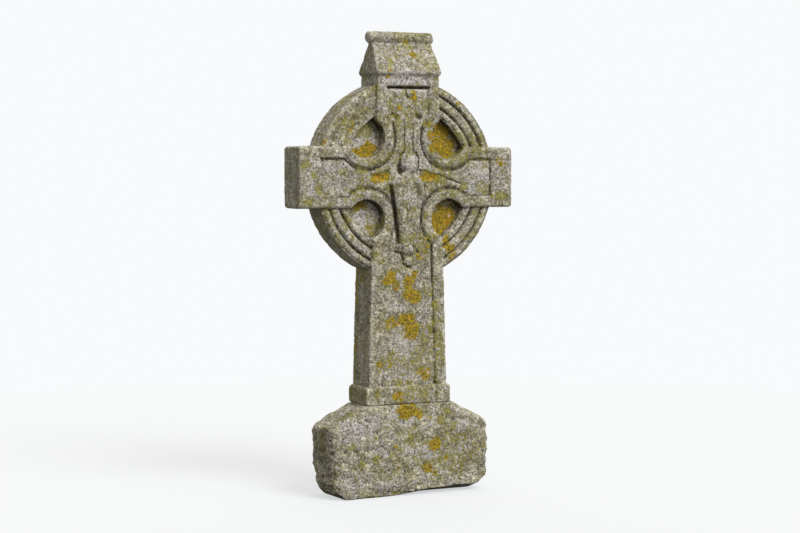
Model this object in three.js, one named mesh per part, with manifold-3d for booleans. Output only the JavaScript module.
// Ringed cross memorial of weathered stone: a wheel-headed cross cut from one block,
// standing on a rough-hewn plinth of its own.
// Millimetres. +Z is up, the carved front faces -Y, and the origin is the middle of the
// plinth's underside.

import * as THREE from 'three';
import { mergeVertices } from 'three/addons/utils/BufferGeometryUtils.js';
import Module from 'manifold-3d';

// Plinth
const plinthWidth = 574;
const plinthDepth = 172;
const plinthHeight = 297;
const plinthShoulderHeight = 224;   // where the upright faces end and the slopes begin
const plinthCorner = 24;            // worn rounding of the upright corners
const plinthFootSet = 8;            // how far the bottom edge is worn back
const hewnRelief = 4;               // depth of the mason's pitching marks
const ledgeMargin = 14;             // flat stone left round the collar
const beddingGap = 0.3;             // dry joint under the collar

// Collar and upright
const collarHeight = 59;
const collarStep = 11;              // how far the collar stands out at the upright's sides
const collarProjection = 5;         // and at its front and back
const collarRound = 9;
const uprightFootWidth = 278;
const uprightHeadWidth = 219;
const uprightDepth = 126;
const uprightHeight = 999;          // collar top to the underside of the eaves
const arris = 6;                    // worn edges of upright and arms

// Ring
const ringCentreHeight = 669.5;     // above the collar top
const ringRadius = 318.5;
const ringInnerRadius = 231;
const ringThickness = 102;
const rollSag = 7;                  // how deep the mouldings' rolls are rounded
const grooveWidth = 5;
const webThickness = 56;
const webSetback = 42;              // the web behind the front of the cross

// Arms
const armSpan = 770;
const armHeight = 194;
const armDepth = 122;
const armLift = 4.5;                // arms' middle above the ring's middle

// Hollows between arms and ring
const hollowRadius = 67;
const hollowOffsetX = 149;
const hollowOffsetZ = 131;

// Sunk field and its border
const fieldSink = 4;
const loopWidth = 31;               // border round each hollow
const uprightBorder = 37;
const armBorder = 34;
const armEndBorder = 75;
const headBand = 34;                // plain stone left between field and eaves
const headGrooveHeight = 7;
const headGrooveDepth = 9;
const neckPocketDepth = 9;
const armGrooveWidth = 8;
const armGrooveDepth = 7;

// Cap
const eavesOverhang = 6;            // beyond the upright's sides
const eavesProjection = 10;         // beyond its front and back
const eavesChamfer = 12;
const roofRise = 101;
const roofTopInset = 7;             // how far each end slopes in
const roofTopDepth = 42;
const ridgeDiameter = 35;
const ridgeLength = 231;
const ridgeSeat = 3;                // how deep the ridge roll is set in the roof

// Carved figure
const figureHeight = 364;           // crown of the head to the tip of the drop
const figureTopRise = 79;           // crown above the ring's middle
const figureLean = -2;
const ribHeight = 118;
const ribWidth = 26;

// Fineness of the round forms
const ringSteps = 72;
const hollowSteps = 40;
const loopSteps = 48;
const widthParts = 9;               // facets along the plinth's long faces
const depthParts = 3;

// Heights and half widths that follow from the sizes
const collarBottom = plinthHeight + beddingGap;
const collarTop = plinthHeight + collarHeight;
const neckTop = collarTop + uprightHeight;
const eavesHeight = neckTop + eavesChamfer;
const roofTop = eavesHeight + roofRise;
const ringCentre = collarTop + ringCentreHeight;
const armCentre = ringCentre + armLift;
const crossFront = -armDepth / 2;
const webFront = crossFront + webSetback;

/** Half the upright's width at a height. */
function uprightHalfWidth(z) {
  const share = (z - collarTop) / uprightHeight;
  return THREE.MathUtils.lerp(uprightFootWidth, uprightHeadWidth, share) / 2;
}

const wasm = await Module();
wasm.setup();

/** A closed geometry as a solid that can be joined and cut. */
function solid(geometry) {
  const bare = geometry.clone();
  bare.deleteAttribute('normal');
  bare.deleteAttribute('uv');
  const merged = mergeVertices(bare, 1e-3);
  const corners = merged.index.array;
  const faces = [];
  for (let i = 0; i < corners.length; i += 3) {
    const [a, b, c] = [corners[i], corners[i + 1], corners[i + 2]];
    if (a !== b && b !== c && c !== a) faces.push(a, b, c);
  }
  return new wasm.Manifold(new wasm.Mesh({
    numProp: 3,
    vertProperties: new Float32Array(merged.attributes.position.array),
    triVerts: new Uint32Array(faces),
  }));
}

/** A finished solid as a named mesh. */
function stone(name, body, colour) {
  const mesh = body.getMesh();
  const geometry = new THREE.BufferGeometry();
  geometry.setAttribute('position', new THREE.BufferAttribute(mesh.vertProperties, 3));
  geometry.setIndex(new THREE.BufferAttribute(mesh.triVerts, 1));
  const flat = geometry.toNonIndexed();
  flat.computeVertexNormals();
  const material = new THREE.MeshStandardMaterial({ color: colour, roughness: 0.95, metalness: 0 });
  const part = new THREE.Mesh(flat, material);
  part.name = name;
  return part;
}

/** Every solid of a list joined into one. */
function joined(solids) {
  return solids.reduce((whole, next) => whole.add(next));
}

/** Points of a rectangle with cut or rounded corners, anticlockwise seen from above. */
function section(halfWidth, halfDepth, corner, cornerSteps) {
  const points = [];
  const signs = [[1, 1], [-1, 1], [-1, -1], [1, -1]];
  signs.forEach(([sx, sy], quarter) => {
    for (let step = 0; step <= cornerSteps; step += 1) {
      const angle = (quarter + step / cornerSteps) * Math.PI / 2;
      points.push(new THREE.Vector2(
        sx * (halfWidth - corner) + corner * Math.cos(angle),
        sy * (halfDepth - corner) + corner * Math.sin(angle),
      ));
    }
  });
  return points;
}

/** A closed body through sections of equal point counts, each at its own height. */
function loft(levels) {
  const count = levels[0].points.length;
  const positions = [];
  for (const { z, points } of levels) {
    for (const point of points) positions.push(point.x, point.y, z);
  }
  const faces = [];
  for (let level = 0; level + 1 < levels.length; level += 1) {
    for (let i = 0; i < count; i += 1) {
      const here = level * count + i;
      const next = level * count + (i + 1) % count;
      faces.push(here, next, next + count, here, next + count, here + count);
    }
  }
  const top = (levels.length - 1) * count;
  for (let i = 1; i + 1 < count; i += 1) {
    faces.push(0, i + 1, i, top, top + i, top + i + 1);
  }
  const geometry = new THREE.BufferGeometry();
  geometry.setAttribute('position', new THREE.Float32BufferAttribute(positions, 3));
  geometry.setIndex(faces);
  return geometry;
}

/** A flat outline in the front plane, cut through the stone from one depth to another. */
function frontPrism(points, from, to) {
  const shape = new THREE.Shape(points.map(([x, z]) => new THREE.Vector2(x, z)));
  const geometry = new THREE.ExtrudeGeometry(shape, { depth: to - from, bevelEnabled: false });
  return solid(geometry.rotateX(Math.PI / 2).translate(0, to, 0));
}

/** A round drum lying along Y. */
function frontDrum(x, z, radius, from, to, steps) {
  const geometry = new THREE.CylinderGeometry(radius, radius, to - from, steps);
  return solid(geometry.translate(x, (from + to) / 2, z));
}

/** A smooth pebble-like form. */
function pebble(x, y, z, [halfWidth, halfDepth, halfHeight], turn = 0, steps = 14) {
  const geometry = new THREE.SphereGeometry(1, steps, Math.round(steps * 0.6));
  geometry.rotateX(Math.PI / 2).scale(halfWidth, halfDepth, halfHeight);
  return solid(geometry.rotateY(turn).translate(x, y, z));
}

/** A rounded bar between two points of the front, thinning from one end to the other. */
function limb(start, end, startRadius, endRadius, y, flatness) {
  const [dx, dz] = [end[0] - start[0], end[1] - start[1]];
  const geometry = new THREE.CylinderGeometry(endRadius, startRadius, Math.hypot(dx, dz), 12, 1);
  geometry.rotateX(Math.PI / 2).scale(1, flatness, 1).rotateY(Math.atan2(dx, dz));
  return solid(geometry.translate((start[0] + end[0]) / 2, y, (start[1] + end[1]) / 2));
}

/** The four hollows' middles as pairs of signs. */
const quarters = [[1, 1], [-1, 1], [-1, -1], [1, -1]];

/** One drum in each hollow's place. */
function hollowDrums(radius, from, to, steps) {
  return joined(quarters.map(([sx, sz]) => frontDrum(
    sx * hollowOffsetX, ringCentre + sz * hollowOffsetZ, radius, from, to, steps,
  )));
}

/** Upright from the collar's underside to the eaves, with worn arrises. */
function upright() {
  const heights = [collarBottom, neckTop + eavesChamfer / 2];
  return solid(loft(heights.map((z) => ({
    z, points: section(uprightHalfWidth(z), uprightDepth / 2, arris, 2),
  }))));
}

/** Collar at the upright's foot, its upper edge rounded over. */
function collar() {
  const halfWidth = uprightFootWidth / 2 + collarStep;
  const halfDepth = uprightDepth / 2 + collarProjection;
  const levels = [0, 0.35, 0.7, 1].map((share) => {
    const angle = share * Math.PI / 2;
    const inset = collarRound * (1 - Math.cos(angle));
    return {
      z: collarTop - collarRound + collarRound * Math.sin(angle),
      points: section(halfWidth - inset, halfDepth - inset, arris, 2),
    };
  });
  const foot = { z: collarBottom, points: section(halfWidth, halfDepth, arris, 2) };
  return solid(loft([foot, ...levels]));
}

/** Both arms as one bar along X with rounded ends. */
function arms() {
  const end = armSpan / 2;
  const levels = [[-end, arris], [-end + arris, 0], [end - arris, 0], [end, arris]];
  const geometry = loft(levels.map(([z, inset]) => ({
    z, points: section(armHeight / 2 - inset, armDepth / 2 - inset, arris, 2),
  })));
  return solid(geometry.rotateY(Math.PI / 2).translate(0, 0, armCentre));
}

/** Profile points of one roll of the ring, from radius to radius. */
function roll(from, to, crest, sag, steps) {
  const points = [];
  for (let step = 0; step <= steps; step += 1) {
    const swing = -1 + 2 * step / steps;
    const drop = sag * (1 - Math.cos(swing * Math.PI / 2));
    points.push([THREE.MathUtils.lerp(from, to, step / steps), crest - Math.sign(crest) * drop]);
  }
  return points;
}

/** Moulded ring with the thin web that closes its hollows. */
function ring() {
  const face = ringThickness / 2;
  const band = ringRadius - ringInnerRadius;
  const half = grooveWidth / 2;
  const innerGroove = ringInnerRadius + band * 0.3;
  const outerGroove = ringInnerRadius + band * 0.7;
  const backGroove = ringInnerRadius + band / 2;
  const front = [
    ...roll(ringInnerRadius, innerGroove - half, -face, rollSag, 4),
    ...roll(innerGroove + half, outerGroove - half, -face, rollSag, 4),
    ...roll(outerGroove + half, ringRadius, -face, rollSag, 4),
  ];
  const back = [
    ...roll(ringInnerRadius, backGroove - half, face, rollSag / 2, 3),
    ...roll(backGroove + half, ringRadius, face, rollSag / 2, 3),
  ];
  const outline = [
    [0, webFront], [ringInnerRadius, webFront], ...front,
    ...back.reverse(), [ringInnerRadius, webFront + webThickness], [0, webFront + webThickness],
  ];
  const profile = outline.map(([radius, y]) => new THREE.Vector2(radius, y));
  const geometry = new THREE.LatheGeometry(profile, ringSteps);
  return solid(geometry.translate(0, 0, ringCentre));
}

/** Sunk field inside the border, as the stone that is cut away. */
function field() {
  const floor = crossFront + fieldSink;
  const outside = crossFront - uprightDepth;
  const top = neckTop - headBand;
  const lower = uprightHalfWidth(collarTop) - uprightBorder;
  const upper = uprightHalfWidth(top) - uprightBorder;
  const low = collarTop + collarRound;
  const panel = frontPrism([[-lower, low], [lower, low], [upper, top], [-upper, top]], outside, floor);
  const reach = armSpan / 2 - armEndBorder;
  const rise = armHeight / 2 - armBorder;
  const bar = frontPrism([
    [-reach, armCentre - rise], [reach, armCentre - rise],
    [reach, armCentre + rise], [-reach, armCentre + rise],
  ], outside, floor);
  return panel.add(bar).subtract(
    hollowDrums(hollowRadius + loopWidth, outside - 1, floor + 1, loopSteps),
  );
}

/** Deep cuts: under the head band, beside the figure's neck and along its arms. */
function deepCuts() {
  const outside = crossFront - uprightDepth;
  const top = neckTop - headBand;
  const halfGroove = uprightHalfWidth(top) - uprightBorder;
  const underBand = frontPrism([
    [-halfGroove, top - headGrooveHeight], [halfGroove, top - headGrooveHeight],
    [halfGroove, top], [-halfGroove, top],
  ], outside, crossFront + headGrooveDepth);
  const h = figureHeight;
  const neck = ringCentre + figureTopRise - 0.145 * h;
  const cuts = [underBand];
  for (const side of [-1, 1]) {
    const pocket = [[0.085, 0.02], [0.32, -0.055], [0.17, -0.105], [0.115, -0.06]];
    const points = pocket.map(([x, z]) => [side * x * h + figureLean, neck + z * h]);
    if (side > 0) points.reverse();
    cuts.push(frontPrism(points, outside, crossFront + neckPocketDepth));
    const start = [side * 0.31 * h + figureLean, neck - 0.052 * h];
    const end = [side * 0.54 * h + figureLean, neck - 0.125 * h];
    const line = [start, end].map(([x, z]) => [x, z - armGrooveWidth / 2]);
    const above = [end, start].map(([x, z]) => [x, z + armGrooveWidth / 2]);
    const strip = [...line, ...above];
    if (side < 0) strip.reverse();
    cuts.push(frontPrism(strip, outside, crossFront + armGrooveDepth));
  }
  return joined(cuts);
}

/** Three upright ribs above the figure's head. */
function ribs() {
  const foot = ringCentre + figureTopRise - ribWidth / 2;
  const y = crossFront + fieldSink;
  return joined([-1, 0, 1].map((place) => {
    const x = place * ribWidth * 1.15 + figureLean;
    const length = ribHeight - Math.abs(place) * ribWidth;
    const base = foot + Math.abs(place) * ribWidth;
    return limb([x, base], [x, base + length], ribWidth / 2, ribWidth / 2.6, y, 0.55);
  }));
}

/** Robed figure with outstretched arms, in low relief on the middle of the cross. */
function figure() {
  const h = figureHeight;
  const y = crossFront + fieldSink;
  const crown = ringCentre + figureTopRise;
  const place = (x, down) => [x * h + figureLean, crown - down * h];
  const form = (x, down, sizes, turn = 0) => {
    const [px, pz] = place(x, down);
    return pebble(px, y, pz, sizes.map((size) => size * h), turn);
  };
  const bar = (from, to, startSize, endSize, flatness = 0.75) => limb(
    place(...from), place(...to), startSize * h, endSize * h, y, flatness,
  );
  return joined([
    form(0.011, 0.08, [0.074, 0.045, 0.08]),
    bar([0.005, 0.13], [-0.005, 0.2], 0.055, 0.07),
    form(-0.015, 0.29, [0.145, 0.04, 0.15]),
    form(0.105, 0.26, [0.04, 0.042, 0.09], -0.15),
    form(-0.125, 0.24, [0.035, 0.04, 0.085], 0.15),
    form(-0.012, 0.46, [0.125, 0.04, 0.2]),
    bar([-0.052, 0.42], [-0.03, 0.82], 0.058, 0.036),
    bar([0.062, 0.42], [0.022, 0.82], 0.055, 0.034),
    form(-0.004, 0.845, [0.055, 0.045, 0.05]),
    form(-0.085, 0.81, [0.032, 0.035, 0.032]),
    form(0.07, 0.81, [0.026, 0.028, 0.028]),
    bar([-0.002, 0.86], [-0.002, 0.94], 0.03, 0.024),
    form(-0.002, 0.953, [0.046, 0.042, 0.047]),
    bar([-0.1, 0.225], [-0.48, 0.262], 0.06, 0.022, 0.4),
    bar([0.08, 0.225], [0.48, 0.262], 0.06, 0.022, 0.4),
  ]);
}

/** Hipped roof on spreading eaves, with a round ridge roll. */
function cap() {
  const halfWidth = uprightHeadWidth / 2;
  const halfDepth = uprightDepth / 2;
  const roof = solid(loft([
    { z: neckTop, points: section(halfWidth, halfDepth, arris, 2) },
    {
      z: eavesHeight,
      points: section(halfWidth + eavesOverhang, halfDepth + eavesProjection, arris, 2),
    },
    {
      z: roofTop,
      points: section(halfWidth + eavesOverhang - roofTopInset, roofTopDepth / 2, arris, 2),
    },
  ]));
  const radius = ridgeDiameter / 2;
  const end = ridgeLength / 2;
  const rounding = radius * 0.35;
  const profile = [
    [0, -end], [radius - rounding, -end], [radius, rounding - end],
    [radius, end - rounding], [radius - rounding, end], [0, end],
  ].map(([r, along]) => new THREE.Vector2(r, along));
  const ridge = new THREE.LatheGeometry(profile, 20).rotateZ(Math.PI / 2);
  return roof.add(solid(ridge.translate(0, 0, roofTop - ridgeSeat + radius)));
}

/** The whole cross: one block of stone. */
function cross() {
  const depth = uprightDepth + armDepth;
  const bites = hollowDrums(hollowRadius, -depth, depth, hollowSteps);
  return upright()
    .add(arms())
    .subtract(bites)
    .subtract(field())
    .subtract(deepCuts())
    .add(joined([ring(), collar(), cap(), ribs(), figure()]));
}

/** How far the mason's tool left the face proud or shy at an angle and height. */
function hewn(angle, z) {
  const slow = Math.sin(angle * 4 + z * 0.021) + Math.sin(angle * 6 - z * 0.034 + 1.3);
  const quick = 0.6 * Math.sin(angle * 14 + z * 0.05 + 0.4);
  return -hewnRelief * (1 + (slow + quick) / 2.6) / 2;
}

/** Rough-hewn plinth: upright faces, sloping shoulders and a flat bed for the collar. */
function plinth() {
  const wide = plinthWidth / 2;
  const deep = plinthDepth / 2;
  const bedWidth = uprightFootWidth / 2 + collarStep + ledgeMargin;
  const bedDepth = uprightDepth / 2 + collarProjection + ledgeMargin / 2;
  const rise = plinthHeight - plinthShoulderHeight;
  const run = (share) => [
    THREE.MathUtils.lerp(wide, bedWidth, share), THREE.MathUtils.lerp(deep, bedDepth, share),
  ];
  const worn = plinthCorner / 2;
  const foot = plinthFootSet;
  const stages = [
    { z: 0, size: [wide - foot * 2.6, deep - foot], rough: 0.3 },
    { z: foot * 1.5, size: [wide - foot * 1.1, deep - foot * 0.3], rough: 0.6 },
    { z: foot * 4.5, size: [wide - foot * 0.3, deep], rough: 0.9 },
    { z: plinthShoulderHeight * 0.3, size: [wide, deep], rough: 1 },
    { z: plinthShoulderHeight * 0.55, size: [wide, deep], rough: 1 },
    { z: plinthShoulderHeight - worn, size: [wide, deep], rough: 1 },
    { z: plinthShoulderHeight + worn * 0.4, size: run(0.08), rough: 0.8 },
    { z: plinthShoulderHeight + rise * 0.5, size: run(0.46), rough: 1 },
    { z: plinthHeight - rise * 0.12, size: run(0.88), rough: 0.5 },
    { z: plinthHeight, size: run(1), rough: 0 },
  ];
  const levels = stages.map(({ z, size, rough }) => ({
    z,
    points: denseSection(size[0], size[1], plinthCorner).map((point) => {
      const angle = Math.atan2(point.y, point.x);
      const push = hewn(angle, z) * rough;
      return new THREE.Vector2(
        point.x * (1 + 2 * push / plinthWidth), point.y * (1 + push / plinthDepth),
      );
    }),
  }));
  return solid(loft(levels));
}

/** A rounded rectangle with points along its straight sides too. */
function denseSection(halfWidth, halfDepth, corner) {
  const cornerSteps = 3;
  const outline = section(halfWidth, halfDepth, corner, cornerSteps);
  const points = [];
  outline.forEach((point, i) => {
    const endsCorner = i % (cornerSteps + 1) === cornerSteps;
    const quarter = Math.floor(i / (cornerSteps + 1));
    const sideParts = quarter % 2 === 0 ? widthParts : depthParts;
    const parts = endsCorner ? sideParts : 1;
    const next = outline[(i + 1) % outline.length];
    for (let part = 0; part < parts; part += 1) {
      points.push(point.clone().lerp(next, part / parts));
    }
  });
  return points;
}

const memorial = new THREE.Group();
memorial.add(stone('plinth', plinth(), 0x8b8a78));
memorial.add(stone('cross', cross(), 0x94927f));

export default memorial;
